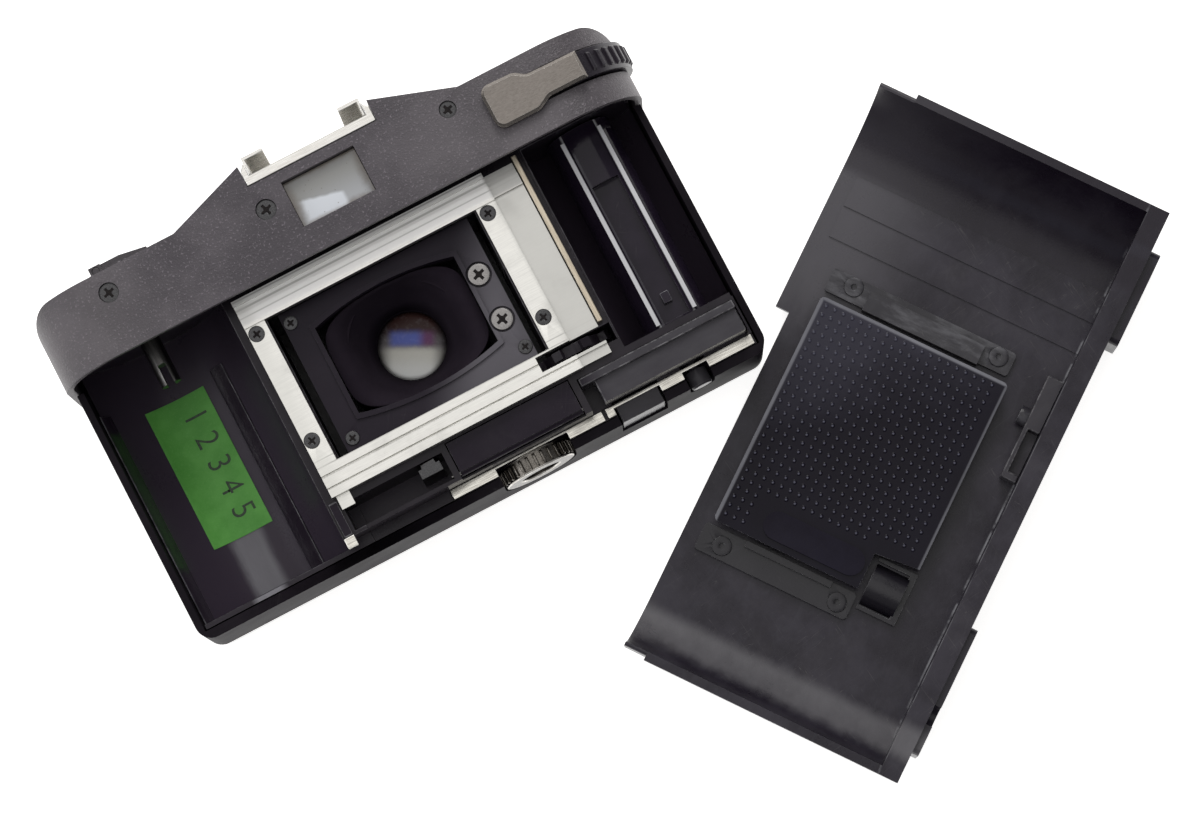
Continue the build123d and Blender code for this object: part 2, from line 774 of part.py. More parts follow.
os.makedirs("parts", exist_ok=True)
save("front_cover", front_cover())
save("cartridge_chamber", cartridge_chamber())
save("lens_bay", lens_bay())
save("takeup_chamber", takeup_chamber())
save("lower_shelf", lower_shelf())
save("cartridge_ribs", cartridge_ribs())
save("serial_label", serial_label())
save("film_gate_frame", film_gate_frame())
save("gate_screws", gate_screws())
save("guide_strip", guide_strip())
save("top_cover", top_cover())
save("cover_screws", cover_screws())
save("finder_tunnel", finder_tunnel())
save("eyepiece_glass", finder_glass(27.6, 28.6))
save("finder_front_glass", finder_glass(2.2, 3.2))
save("shoe_plate", shoe_plate())
save("shoe_rails", shoe_rails())
save("shoe_contact", shoe_contact())
save("lever_pivot", lever_pivot())
save("lever_ring", lever_ring())
save("wind_lever", wind_lever())
save("shutter_button", shutter_button())
save("rewind_knob", rewind_knob())
save("rewind_fork", rewind_fork())
save("rewind_crank", rewind_crank())
save("crank_handle", crank_handle())
save("take_up_spool", take_up_spool())
save("spool_hook", spool_hook())
save("sprocket", sprocket())
save("light_mask", light_mask())
save("mask_screws", mask_screws())
save("shutter_screws", shutter_screws())
save("lens_barrel", lens_barrel())
save("rear_lens", rear_lens())
save("front_lens", front_lens())
save("focus_ring", lens_ring(6.2, 9.0, ring_r))
save("aperture_ring", lens_ring(3.2, 5.9, ring_r))
save("front_door", front_door())
save("door_pin", door_pin())
save("battery_lid", battery_lid())
save("battery_lid_pin", battery_lid_pin())
save("button_cells", button_cells())
save("lid_latch", lid_latch())
save("tripod_bush", tripod_bush())
save("tripod_strap", tripod_strap())
save("drive_strap", drive_strap())
save("drive_cover", drive_cover())
save("lock_block", lock_block())
save("lock_arm", lock_arm())
save("lock_tab", lock_tab())
save("rewind_button", rewind_button())
save("back_shell", back_shell())
save("left_bracket", left_bracket())
save("right_bracket", right_bracket())
save("bracket_rivets", bracket_rivets())
save("pressure_plate", pressure_plate())
save("plate_spring", plate_spring())
save("film_clip", film_clip())
save("back_catch", back_catch())
save("catch_spring", catch_spring())
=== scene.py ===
import bpy
import bmesh
import json
import math
from mathutils import Matrix, Vector


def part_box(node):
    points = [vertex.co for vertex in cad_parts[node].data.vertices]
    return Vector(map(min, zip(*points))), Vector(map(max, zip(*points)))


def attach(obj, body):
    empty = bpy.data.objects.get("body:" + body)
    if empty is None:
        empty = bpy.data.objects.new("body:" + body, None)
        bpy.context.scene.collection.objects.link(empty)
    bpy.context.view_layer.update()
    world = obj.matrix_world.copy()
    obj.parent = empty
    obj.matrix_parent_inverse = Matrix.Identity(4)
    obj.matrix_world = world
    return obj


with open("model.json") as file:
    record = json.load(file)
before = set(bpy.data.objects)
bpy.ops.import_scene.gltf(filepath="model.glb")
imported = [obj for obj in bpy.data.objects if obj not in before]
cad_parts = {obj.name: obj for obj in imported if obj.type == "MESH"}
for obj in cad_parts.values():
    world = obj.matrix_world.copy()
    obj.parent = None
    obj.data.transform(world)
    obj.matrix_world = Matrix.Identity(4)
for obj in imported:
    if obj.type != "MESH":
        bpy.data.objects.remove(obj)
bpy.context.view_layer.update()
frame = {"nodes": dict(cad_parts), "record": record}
nodes = frame["nodes"]
mm = 0.001

# the removable back lies turned beside the camera
backPlace = {"x": 59.2, "y": -45.6, "turn": math.radians(36.4)}


class Signal:
    # a shader value that can be used in sums

    def __init__(self, tree, socket):
        self.tree = tree
        self.socket = socket

    def math(self, operation, *others):
        node = self.tree.nodes.new("ShaderNodeMath")
        node.operation = operation
        for index, value in enumerate((self,) + others):
            if isinstance(value, Signal):
                self.tree.links.new(value.socket, node.inputs[index])
            else:
                node.inputs[index].default_value = value
        return Signal(self.tree, node.outputs[0])

    def __add__(self, other):
        return self.math("ADD", other)

    def __radd__(self, other):
        return self.math("ADD", other)

    def __sub__(self, other):
        return self.math("SUBTRACT", other)

    def __rsub__(self, other):
        return (self * -1.0).math("ADD", other)

    def __mul__(self, other):
        return self.math("MULTIPLY", other)

    def __rmul__(self, other):
        return self.math("MULTIPLY", other)

    def __truediv__(self, other):
        return self.math("DIVIDE", other)

    def absolute(self):
        return self.math("ABSOLUTE")

    def smaller(self, other):
        return self.math("MINIMUM", other)

    def larger(self, other):
        return self.math("MAXIMUM", other)


class Surface:
    # one procedural material, measured in millimetres

    def __init__(self, name, turned=False):
        self.material = bpy.data.materials.new(name)
        self.material.use_nodes = True
        self.tree = self.material.node_tree
        self.shader = self.tree.nodes["Principled BSDF"]
        spot = self.make("ShaderNodeTexCoord").outputs["Object"]
        scaled = self.make("ShaderNodeVectorMath", {"operation": "SCALE"}, {0: spot, 3: 1000.0}).outputs[0]
        if turned:
            moved = self.make("ShaderNodeVectorMath", {"operation": "SUBTRACT"},
                              {0: scaled, 1: (backPlace["x"], backPlace["y"], 0)}).outputs[0]
            scaled = self.make("ShaderNodeVectorRotate", {"rotation_type": "Z_AXIS"},
                               {0: moved, 3: -backPlace["turn"]}).outputs[0]
        self.spot = scaled
        split = self.make("ShaderNodeSeparateXYZ", {}, {0: scaled})
        self.x, self.y, self.z = [Signal(self.tree, split.outputs[i]) for i in range(3)]
        self.bumps = None

    def make(self, kind, settings=None, inputs=None):
        node = self.tree.nodes.new(kind)
        for key, value in (settings or {}).items():
            setattr(node, key, value)
        for key, value in (inputs or {}).items():
            if isinstance(value, Signal):
                value = value.socket
            if isinstance(value, bpy.types.NodeSocket):
                self.tree.links.new(value, node.inputs[key])
            else:
                node.inputs[key].default_value = value
        return node

    def stretched(self, stretch):
        return self.make("ShaderNodeVectorMath", {"operation": "MULTIPLY"},
                         {0: self.spot, 1: stretch}).outputs[0]

    def noise(self, scale, detail=3.0, rough=0.55, stretch=None, warp=0.0):
        spot = self.stretched(stretch) if stretch else self.spot
        node = self.make("ShaderNodeTexNoise", {}, {
            "Vector": spot, "Scale": scale, "Detail": detail, "Roughness": rough, "Distortion": warp})
        return Signal(self.tree, node.outputs[0])

    def cells(self, scale):
        node = self.make("ShaderNodeTexVoronoi", {"feature": "F1"}, {"Vector": self.spot, "Scale": scale})
        return Signal(self.tree, node.outputs[0])

    def step(self, signal, low, high, first=0.0, last=1.0):
        node = self.make("ShaderNodeMapRange", {"interpolation_type": "SMOOTHSTEP", "clamp": True}, {
            0: signal, 1: low, 2: high, 3: first, 4: last})
        return Signal(self.tree, node.outputs[0])

    def band(self, signal, centre, half, soft):
        return self.step((signal - centre).absolute(), half + soft, max(half - soft, 0.0))

    def mix(self, factor, first, second):
        node = self.make("ShaderNodeMix", {"data_type": "RGBA"},
                         {0: factor, 6: paint(first), 7: paint(second)})
        return Signal(self.tree, node.outputs[2])

    def facing(self, axis):
        normal = self.make("ShaderNodeNewGeometry").outputs["Normal"]
        split = self.make("ShaderNodeSeparateXYZ", {}, {0: normal})
        return Signal(self.tree, split.outputs[axis])

    def bump(self, height, depth, strength=1.0):
        inputs = {"Height": height, "Distance": depth * mm, "Strength": strength}
        if self.bumps:
            inputs["Normal"] = self.bumps
        self.bumps = Signal(self.tree, self.make("ShaderNodeBump", {}, inputs).outputs[0])

    def scratches(self, scale, amount, angle):
        # thin hairlines where a stretched noise crosses its middle
        turned = self.make("ShaderNodeVectorRotate", {"rotation_type": "Z_AXIS"},
                           {0: self.spot, 3: angle}).outputs[0]
        long = self.make("ShaderNodeVectorMath", {"operation": "MULTIPLY"},
                         {0: turned, 1: (0.035, 1.0, 0.3)}).outputs[0]
        node = self.make("ShaderNodeTexNoise", {}, {
            "Vector": long, "Scale": scale, "Detail": 2.0, "Roughness": 0.5, "Distortion": 0.15})
        line = self.step((Signal(self.tree, node.outputs[0]) - 0.5).absolute(), 0.0035, 0.0)
        where = self.step(self.noise(0.09, 2.0), 0.62 - amount * 0.2, 0.75 - amount * 0.2)
        return line * where

    def finish(self, **values):
        names = {
            "colour": "Base Color", "rough": "Roughness", "metal": "Metallic",
            "specular": "Specular IOR Level", "coat": "Coat Weight", "coatRough": "Coat Roughness",
            "glow": "Emission Color", "glowPower": "Emission Strength",
        }
        for key, value in values.items():
            socket = self.shader.inputs[names[key]]
            if isinstance(value, Signal):
                self.tree.links.new(value.socket, socket)
            else:
                socket.default_value = paint(value) if isinstance(value, tuple) else value
        if self.bumps:
            self.tree.links.new(self.bumps.socket, self.shader.inputs["Normal"])
        return self.material


def paint(value):
    return tuple(value) + (1.0,) if isinstance(value, tuple) and len(value) == 3 else value


# plastics and paints: colour, gloss, mottling, dust and fine texture
plastics = {
    "cover_paint": {
        "dark": (0.055, 0.047, 0.056), "light": (0.088, 0.077, 0.088), "rough": 0.42, "grain": 2.8,
        "depth": 0.16, "speck": 0.9, "dust": 0.02, "scuff": 0.3, "specular": 0.42,
    },
    "shell_plastic": {
        "dark": (0.008, 0.006, 0.009), "light": (0.014, 0.011, 0.015), "rough": 0.5, "grain": 3.0,
        "depth": 0.02, "speck": 0.08, "dust": 0.06, "scuff": 0.5, "specular": 0.06,
    },
    "chassis_plastic": {
        "dark": (0.012, 0.0092, 0.0135), "light": (0.020, 0.016, 0.022), "rough": 0.3, "grain": 2.4,
        "depth": 0.02, "speck": 0.06, "dust": 0.12, "scuff": 0.4, "specular": 0.2, "deep": 3.8,
    },
    "rib_plastic": {
        "dark": (0.018, 0.012, 0.021), "light": (0.028, 0.021, 0.031), "rough": 0.22, "grain": 2.4,
        "depth": 0.02, "speck": 0.06, "dust": 0.12, "scuff": 0.4, "specular": 0.45,
    },
    "spool_plastic": {
        "dark": (0.012, 0.008, 0.016), "light": (0.018, 0.013, 0.023), "rough": 0.13, "grain": 2.0,
        "depth": 0.01, "speck": 0.05, "dust": 0.08, "scuff": 0.4, "specular": 0.2,
    },
    "mask_paint": {
        "dark": (0.010, 0.006, 0.013), "light": (0.015, 0.010, 0.018), "rough": 0.5, "grain": 4.0,
        "depth": 0.015, "speck": 0.08, "dust": 0.14, "scuff": 0.4, "specular": 0.2,
    },
    "barrel_paint": {
        "dark": (0.019, 0.0145, 0.021), "light": (0.025, 0.0195, 0.027), "rough": 0.85, "grain": 4.0,
        "depth": 0.01, "speck": 0.05, "dust": 0.02, "scuff": 0.05, "specular": 0.02,
    },
    "door_plastic": {
        "dark": (0.012, 0.010, 0.013), "light": (0.022, 0.019, 0.023), "rough": 0.34, "grain": 3.0,
        "depth": 0.02, "speck": 0.1, "dust": 0.08, "scuff": 0.4, "specular": 0.45,
    },
    "ring_plastic": {
        "dark": (0.014, 0.011, 0.017), "light": (0.026, 0.021, 0.029), "rough": 0.28, "grain": 3.0,
        "depth": 0.01, "speck": 0.1, "dust": 0.2, "scuff": 0.4, "specular": 0.5,
    },
    "lid_plastic": {
        "dark": (0.012, 0.008, 0.015), "light": (0.018, 0.013, 0.021), "rough": 0.2, "grain": 2.2,
        "depth": 0.015, "speck": 0.06, "dust": 0.12, "scuff": 0.6, "specular": 0.12,
    },
    "back_plastic": {
        "dark": (0.011, 0.008, 0.015), "light": (0.031, 0.027, 0.038), "rough": 0.30, "grain": 2.6,
        "depth": 0.02, "speck": 0.10, "dust": 0.24, "scuff": 1.0, "specular": 0.30, "turned": True,
    },
    "plate_paint": {
        "dark": (0.008, 0.006, 0.013), "light": (0.012, 0.010, 0.020), "rough": 0.16, "grain": 3.4,
        "depth": 0.012, "speck": 0.05, "dust": 0.08, "scuff": 0.3, "specular": 0.12, "turned": True,
    },
    "bracket_steel": {
        "dark": (0.014, 0.012, 0.018), "light": (0.032, 0.030, 0.036), "rough": 0.30, "grain": 2.6,
        "depth": 0.02, "speck": 0.1, "dust": 0.15, "scuff": 0.8, "specular": 0.4, "turned": True,
    },
}


# dust that settles on every plastic, and the heights between which deep surfaces get a painted fill light
dustAndDeepFill = {"dust": (0.24, 0.23, 0.22), "deepFrom": 19.0, "deepTo": 9.0}


def plastic(name, dark, light, rough, grain, depth, speck, dust, scuff, specular, turned=False, deep=1.0,
            extra=None):
    s = Surface(name, turned)
    cloud = s.noise(0.11, 4.0, 0.6)
    fine = s.noise(grain, 3.0, 0.6)
    dots = s.cells(grain * 1.3)
    colour = s.mix(s.step(cloud, 0.35, 0.68), dark, light)
    lighter = tuple(min(1.0, c * 2.2 + 0.01) for c in light)
    colour = s.mix(s.step(fine, 0.56, 0.72) * speck, colour, lighter)
    lint = s.step(s.cells(0.7), 0.05, 0.02) * s.step(s.noise(0.2, 2.0), 0.52, 0.66)
    lines = (s.scratches(0.9, scuff, 0.5) + s.scratches(0.7, scuff, 2.1)).smaller(1.0) * min(1.0, 0.5 * scuff)
    film = s.step(s.noise(0.07, 5.0, 0.65, None, 0.8), 0.5, 0.8) * dust
    colour = s.mix((lint * dust * 1.6 + lines * 0.35 + film * 0.25).smaller(0.8), colour, dustAndDeepFill["dust"])
    # painted fill light: low surfaces deep in the body are painted lighter
    if deep > 1.0:
        paintedDeepFill = tuple(c * deep for c in dark)
        colour = s.mix(s.step(s.z, dustAndDeepFill["deepFrom"], dustAndDeepFill["deepTo"]), colour, paintedDeepFill)
    if extra:
        colour = extra(s, colour)
    s.bump(dots * 0.6 + fine, depth, 0.5)
    s.bump(s.noise(0.35, 3.0), 0.05, 0.25)
    s.bump(lines, -0.01, 0.3)
    roughness = rough + (cloud - 0.5) * 0.22 + film * 0.35 + lines * 0.2 + (fine - 0.5) * 0.08
    return s.finish(colour=colour, rough=roughness.larger(0.06).smaller(0.95), specular=specular)


# metals: colour, gloss, brushing direction and wear
metals = {
    "gate_aluminium": {"colour": (0.76, 0.75, 0.71), "tint": (0.66, 0.65, 0.62), "rough": 0.36,
                       "brush": (0.05, 2.0, 1.0), "grime": 0.16},
    "strip_metal": {"colour": (0.62, 0.55, 0.44), "tint": (0.45, 0.39, 0.30), "rough": 0.42,
                    "brush": (2.0, 0.05, 1.0), "grime": 0.2},
    "dark_screw": {"colour": (0.045, 0.044, 0.048), "tint": (0.10, 0.10, 0.10), "rough": 0.33,
                   "brush": (1.0, 1.0, 1.0), "grime": 0.2},
    "bright_screw": {"colour": (0.30, 0.29, 0.28), "tint": (0.20, 0.19, 0.19), "rough": 0.28,
                     "brush": (1.0, 1.0, 1.0), "grime": 0.35},
    "shoe_steel": {"colour": (0.80, 0.79, 0.76), "tint": (0.58, 0.56, 0.52), "rough": 0.26,
                   "brush": (0.06, 2.4, 1.0), "grime": 0.18},
    "contact_metal": {"colour": (0.72, 0.60, 0.40), "tint": (0.5, 0.4, 0.26), "rough": 0.3,
                      "brush": (1.0, 1.0, 1.0), "grime": 0.2},
    "lever_metal": {"colour": (0.215, 0.195, 0.178), "tint": (0.17, 0.152, 0.138), "rough": 0.25,
                    "brush": (0.3, 1.0, 1.0), "grime": 0.12},
    "button_metal": {"colour": (0.55, 0.54, 0.52), "tint": (0.40, 0.39, 0.38), "rough": 0.25,
                     "brush": (1.0, 1.0, 1.0), "grime": 0.2},
    "knob_metal": {"colour": (0.075, 0.07, 0.075), "tint": (0.05, 0.046, 0.05), "rough": 0.3,
                   "brush": (1.0, 1.0, 1.0), "grime": 0.2},
    "shaft_steel": {"colour": (0.20, 0.195, 0.19), "tint": (0.12, 0.115, 0.11), "rough": 0.3,
                    "brush": (2.0, 0.1, 1.0), "grime": 0.3},
    "cell_steel": {"colour": (0.66, 0.65, 0.63), "tint": (0.48, 0.47, 0.45), "rough": 0.25,
                   "brush": (1.0, 1.0, 1.0), "grime": 0.2},
    "bush_steel": {"colour": (0.20, 0.185, 0.165), "tint": (0.08, 0.073, 0.066), "rough": 0.24,
                   "brush": (1.0, 1.0, 1.0), "grime": 0.3},
    "strap_steel": {"colour": (0.80, 0.78, 0.71), "tint": (0.36, 0.34, 0.31), "rough": 0.25,
                    "brush": (0.05, 2.0, 1.0), "grime": 0.3},
}


def metal(name, colour, tint, rough, brush, grime, extra=None):
    s = Surface(name)
    grain = s.noise(6.0, 4.0, 0.6, brush)
    cloud = s.noise(0.16, 4.0, 0.6)
    spots = s.step(s.noise(1.1, 4.0, 0.7), 0.6, 0.74)
    shade = s.mix(s.step(grain, 0.3, 0.72), colour, tint)
    dirt = (s.step(cloud, 0.52, 0.78) + spots * 0.5).smaller(1.0) * grime
    dull = tuple(c * 0.35 for c in tint)
    shade = s.mix(dirt, shade, dull)
    if extra:
        shade = extra(s, shade)
    lines = s.scratches(1.2, 0.5, 0.9)
    s.bump(grain, 0.012, 0.45)
    s.bump(s.noise(0.5, 3.0), 0.03, 0.2)
    roughness = rough + (grain - 0.5) * 0.16 + dirt * 0.5 + lines * 0.15
    share = s.step(s.y, 12.2, 12.8, 1.0, 0.3) if name == "gate_aluminium" else 1.0
    return s.finish(colour=shade, rough=roughness.larger(0.08).smaller(0.9), metal=share)


def labelPaper():
    s = Surface("label_paper")
    patch = s.noise(0.16, 4.0, 0.6)
    fibre = s.noise(3.5, 4.0, 0.65)
    colour = s.mix(s.step(patch, 0.3, 0.7), (0.085, 0.34, 0.05), (0.14, 0.46, 0.085))
    colour = s.mix(s.step(fibre, 0.5, 0.75) * 0.35, colour, (0.2, 0.5, 0.14))
    worn = s.step(s.noise(0.6, 5.0, 0.7), 0.66, 0.76)
    colour = s.mix(worn * 0.4, colour, (0.05, 0.17, 0.035))
    s.bump(fibre, 0.02, 0.4)
    s.bump(patch, 0.25, 0.3)
    return s.finish(colour=colour, rough=0.55 + (fibre - 0.5) * 0.2, specular=0.35)


def labelInk():
    s = Surface("label_ink")
    worn = s.noise(4.0, 3.0, 0.6)
    return s.finish(colour=s.mix(s.step(worn, 0.35, 0.75), (0.008, 0.02, 0.008), (0.03, 0.09, 0.02)),
                    rough=0.5 + (worn - 0.5) * 0.2)


# coated glass with a painted reflection: direction of its upward axis and the reflection's tints
lensReflection = {
    "up": (0.46, 0.886), "paleLow": (0.70, 0.71, 0.70), "paleHigh": (0.56, 0.55, 0.50),
    "middle": (0.15, 0.135, 0.14), "top": (0.045, 0.022, 0.02), "blue": (0.10, 0.13, 0.42),
    "violet": (0.14, 0.05, 0.13), "rim": (0.05, 0.045, 0.05), "haze": (0.5, 0.5, 0.55),
}


def opticGlass():
    # painted reflection: pale lower half, violet bloom over a dark brown upper half
    s = Surface("optic_glass")
    haze = s.noise(1.2, 4.0, 0.6)
    upX, upY = lensReflection["up"]
    rise = s.x * upX + s.y * upY + (haze - 0.5) * 0.5
    sideways = s.x * upY - s.y * upX
    across = sideways.absolute()
    colour = s.mix(s.step(rise, -5.0, -0.9), lensReflection["paleLow"], lensReflection["paleHigh"])
    colour = s.mix(s.step(rise, -1.1, 0.5), colour, lensReflection["middle"])
    bloom = s.step(rise, -0.6, 0.7) * s.step(rise, 2.9, 1.5) * s.step(across, 4.2, 2.6)
    colour = s.mix(s.step(rise, 0.9, 2.4), colour, lensReflection["top"])
    tint = s.mix(s.step(sideways, 0.4, 2.4), lensReflection["blue"], lensReflection["violet"])
    colour = s.mix(bloom, colour, tint)
    colour = s.mix(s.step(across, 2.6, 5.2) * 0.8, colour, lensReflection["rim"])
    return s.finish(colour=s.mix(s.step(haze, 0.5, 0.8) * 0.08, colour, lensReflection["haze"]),
                    rough=0.22 + haze * 0.1, specular=0.15)


# finder pane: middle, half width, half height and tints
pane = {
    "x": -0.1, "y": 24.4, "wide": 6.1, "tall": 3.8, "high": (0.235, 0.235, 0.225), "low": (0.37, 0.38, 0.40),
    "glare": (0.66, 0.69, 0.74), "dirt": (0.13, 0.10, 0.075), "crumbs": (0.12, 0.10, 0.08),
}


def finderGlass():
    # milky pane with dirt creeping in from its rim
    s = Surface("finder_glass")
    haze = s.noise(0.35, 5.0, 0.6)
    rim = ((s.x - pane["x"]).absolute() / pane["wide"]).larger((s.y - pane["y"]).absolute() / pane["tall"])
    dirt = s.step(rim + (haze - 0.5) * 0.35, 0.72, 1.02)
    glare = s.step(s.y + s.x * 0.25 + (haze - 0.5) * 0.8, 23.75, 23.15)
    glare = glare * s.step(s.x, 1.9, 1.1) * s.step(s.x, -6.0, -4.4)
    colour = s.mix(s.step(s.y, 26.5, 21.0), pane["high"], pane["low"])
    colour = s.mix(glare, colour, pane["glare"])
    colour = s.mix(dirt * 0.8, colour, pane["dirt"])
    colour = s.mix(s.step(s.cells(0.9), 0.12, 0.05) * 0.5, colour, pane["crumbs"])
    s.bump(haze, 0.03, 0.3)
    return s.finish(colour=colour, rough=0.16 + haze * 0.14, specular=0.6, coat=0.5, coatRough=0.05)


# where handling has changed a finish and where light and shade are painted, and to which tint
wearAndPaintedLight = {
    "chamber": {"x": -36.4, "tint": (0.20, 0.195, 0.215)},
    "spool": {"x": 37.6, "lip": 3.15, "tint": (0.62, 0.62, 0.64)},
    "dots": {"z": 6.165, "tint": (0.10, 0.10, 0.135)},
    "plate": {"dark": (0.004, 0.003, 0.006), "tint": (0.042, 0.040, 0.056), "rim": (0.26, 0.26, 0.29)},
    "mask": {"tint": (0.105, 0.098, 0.113)},
    "cover": {"tint": (0.255, 0.235, 0.238)},
    "bar": {"x": 19.0, "tint": (0.085, 0.082, 0.09)},
    "bracket": {"dark": (0.006, 0.005, 0.008), "tint": (0.105, 0.103, 0.115)},
    "back": {"rub": (0.055, 0.055, 0.067), "wallY": -20.7, "wall": (0.26, 0.26, 0.28), "hollowX": 41.0,
             "hollow": (0.06, 0.062, 0.085), "endX": -42.4, "end": (0.15, 0.145, 0.155),
             "sheen": (0.105, 0.10, 0.112), "recessX": 33.5, "recess": (0.010, 0.006, 0.013)},
    "frame": {"railY": 12.2, "rail": (0.93, 0.92, 0.90), "groove": (0.30, 0.295, 0.28), "plateX": 20.7,
              "plate": (0.50, 0.495, 0.47), "leftX": -18.0, "left": (0.60, 0.595, 0.56)},
}


def chamberRubAndSheen(s, colour):
    # painted grey sheen along the chamber's lowest line: partly a painted highlight, partly rubbing by the
    # cartridges
    at = wearAndPaintedLight["chamber"]
    smear = s.noise(0.5, 4.0, 0.6, (1.0, 0.25, 1.0))
    band = s.step((s.x - at["x"] + (smear - 0.5) * 1.4).absolute(), 3.4, 1.6)
    return s.mix(band * s.step(s.y, -9.0, -14.0) * (smear * 0.5 + 0.7), colour, at["tint"])


def spoolGlint(s, colour):
    # painted glint on the lips either side of the film slot
    at = wearAndPaintedLight["spool"]
    lip = s.step(((s.x - at["x"]).absolute() - at["lip"]).absolute(), 0.5, 0.25) * s.step(s.z, 18.6, 19.0)
    return s.mix(lip, colour, at["tint"])


def dotGlint(s, colour):
    # only the tops of the raised dots catch light
    at = wearAndPaintedLight["dots"]
    return s.mix(s.step(s.z, at["z"], at["z"] + 0.035), plateSheen(s, colour), at["tint"])


def plateSheen(s, colour):
    # painted sheen: paler towards one corner, with a painted highlight along the rim
    at = wearAndPaintedLight["plate"]
    smear = s.noise(0.12, 3.0, 0.6)
    lit = s.step(s.x + s.y * 0.7 + (smear - 0.5) * 14.0, 2.0, 24.0)
    colour = s.mix(lit, s.mix(0.5, colour, at["dark"]), at["tint"])
    rim = s.step(s.y, 18.0, 18.35).larger(s.step(s.x, 13.9, 14.3)).larger(s.step(s.y, -12.7, -13.0) * 0.6)
    return s.mix(rim * (smear * 0.8 + 0.3), colour, at["rim"])


def maskSheen(s, colour):
    # painted sheen: the mask is painted lighter towards its right and lower side
    return s.mix(s.step(s.x * 0.8 - s.y * 0.6, 3.5, 13.0), colour, wearAndPaintedLight["mask"]["tint"])


def coverWear(s, colour):
    # rubbed lighter towards both ends, darker along the arch
    cloud = s.noise(0.06, 3.0, 0.6)
    along = s.x + (cloud - 0.5) * 16.0
    ends = s.step(along, 4.0, 30.0).larger(s.step(along, -26.0, -42.0))
    return s.mix(ends * (0.08 + cloud * 0.2), colour, wearAndPaintedLight["cover"]["tint"])


def barPaleEnd(s, colour):
    # low bar lighter at the sprocket's end of the shelf
    smear = s.noise(0.4, 4.0, 0.6, (0.4, 1.0, 1.0))
    at = wearAndPaintedLight["bar"]
    return s.mix(s.step(s.x, at["x"], at["x"] + 5.0) * (smear * 0.6 + 0.3), colour, at["tint"])


def bracketSheen(s, colour):
    # painted sheen: the upper bracket is painted brighter in patches, the lower one painted darker
    smear = s.noise(0.5, 4.0, 0.6, (1.0, 0.3, 1.0))
    at = wearAndPaintedLight["bracket"]
    return s.mix(s.step(s.x, -4.0, 6.0), s.mix(0.55, colour, at["dark"]),
                 s.mix(s.step(smear, 0.42, 0.66) * 0.8, colour, at["tint"]))


def backWearAndLight(s, colour):
    # painted sheen at the rounded end and on the upper floor, greasy floor, pale wall edge, painted shade in
    # the roll recess
    at = wearAndPaintedLight["back"]
    smear = s.noise(0.35, 4.0, 0.6, (0.3, 1.0, 1.0))
    rubs = s.step(s.noise(0.5, 5.0, 0.65, (0.5, 1.0, 1.0), 1.2), 0.45, 0.85)
    colour = s.mix(rubs * 0.3, colour, at["rub"])
    wall = s.band(s.y, at["wallY"], 0.14, 0.16) * s.step(s.facing(2), 0.6, 0.9)
    wall = wall * s.step(s.noise(0.3, 3.0), 0.4, 0.6)
    colour = s.mix(wall * 0.9, colour, at["wall"])
    hollow = s.step((s.x - at["hollowX"] + (smear - 0.5) * 1.2).absolute(), 1.6, 0.3)
    colour = s.mix(hollow * 0.35, colour, at["hollow"])
    # painted highlight band along the rounded end
    end = s.step((s.x - at["endX"] + (smear - 0.5) * 1.5).absolute(), 3.6, 1.2)
    colour = s.mix(end * (smear * 0.5 + 0.45), colour, at["end"])
    # painted sheen over the upper part of the floor
    left = s.step(s.x + (smear - 0.5) * 12.0, 2.0, 20.0) * s.step(s.y, 2.0, 21.0)
    colour = s.mix(left * 0.75, colour, at["sheen"])
    # painted shade: the roll recess is painted darker
    return s.mix(s.step(s.x, at["recessX"], at["recessX"] + 2.5) * 0.6, colour, at["recess"])


def railWearAndLight(s, shade):
    # grooved rails above and below the opening, top rail painted lighter against the cover's shade, duller
    # plate at the right
    at = wearAndPaintedLight["frame"]
    stripe = s.band(s.y, 13.6, 0.10, 0.1)
    for middle, half, soft in ((15.1, 0.16, 0.1), (16.3, 0.1, 0.1), (-12.0, 0.12, 0.1), (-10.9, 0.08, 0.08)):
        stripe = stripe.larger(s.band(s.y, middle, half, soft))
    # painted light: the top rail is painted paler where the cover's overhang shades it
    shade = s.mix(s.step(s.y, at["railY"], at["railY"] + 0.6), shade, at["rail"])
    shade = s.mix(stripe * 0.6, shade, at["groove"])
    shade = s.mix(s.step(s.x, at["plateX"], at["plateX"] + 0.9) * 0.9, shade, at["plate"])
    return s.mix(s.step(s.x, at["leftX"], at["leftX"] - 2.5) * 0.5, shade, at["left"])


extras = {
    "spool_plastic": spoolGlint, "plate_paint": plateSheen, "back_plastic": backWearAndLight,
    "mask_paint": maskSheen, "cover_paint": coverWear, "gate_aluminium": railWearAndLight,
    "lid_plastic": barPaleEnd, "bracket_steel": bracketSheen,
}
finish = {name: plastic(name, extra=extras.get(name), **values) for name, values in plastics.items()}
rubbedAndSheen = plastic("chamber_plastic", extra=chamberRubAndSheen, **plastics["chassis_plastic"])
dotted = plastic("plate_dots", extra=dotGlint, **plastics["plate_paint"])
finish.update({name: metal(name, extra=extras.get(name), **values) for name, values in metals.items()})
finish.update({"label_paper": labelPaper(), "optic_glass": opticGlass(), "finder_glass": finderGlass()})
ink = labelInk()
print("materials", len(finish) + 1)

